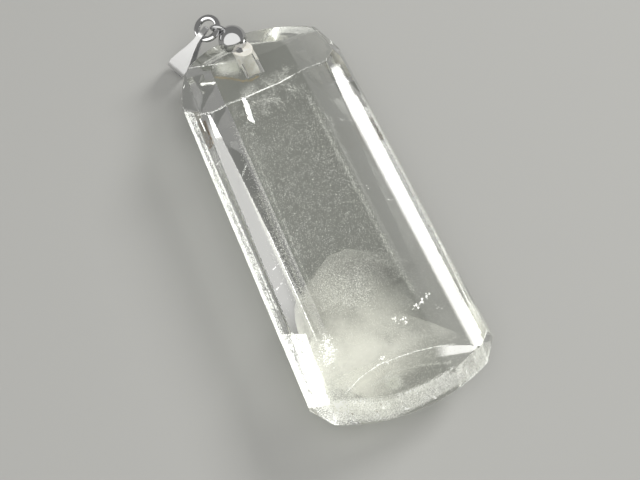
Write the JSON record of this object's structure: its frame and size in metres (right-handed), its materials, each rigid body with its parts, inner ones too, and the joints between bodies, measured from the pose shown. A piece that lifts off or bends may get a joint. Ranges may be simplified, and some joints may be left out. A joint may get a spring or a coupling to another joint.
{
  "type": "phantom quartz pendant",
  "caption": "Long clear stone with a flat back and ghost-crystal inclusions, capped at its drilled end by a domed metal cap with a jump ring and a folded bail.",
  "frame": {"origin": "middle of the flat strip on the stone's back, where it rests on a surface", "axes": "+Y along the length toward the drilled end, +Z out of the domed front, +X to the right"},
  "size_m": [0.022, 0.0562, 0.0091],
  "materials": {
    "quartz": "polished, clear, with cloudy inclusions",
    "ghost": "pale dust enclosed in the quartz, cloudy and partly clear",
    "silver": "polished",
    "adhesive": "cured, whitish and slightly clear"
  },
  "bodies": {
    "root": {"quartz": "quartz", "upper_ghost": "ghost", "lower_ghost": "ghost", "cap": "silver", "adhesive": "adhesive", "jump_ring": "silver", "bail": "silver"}
  },
  "joints": []
}
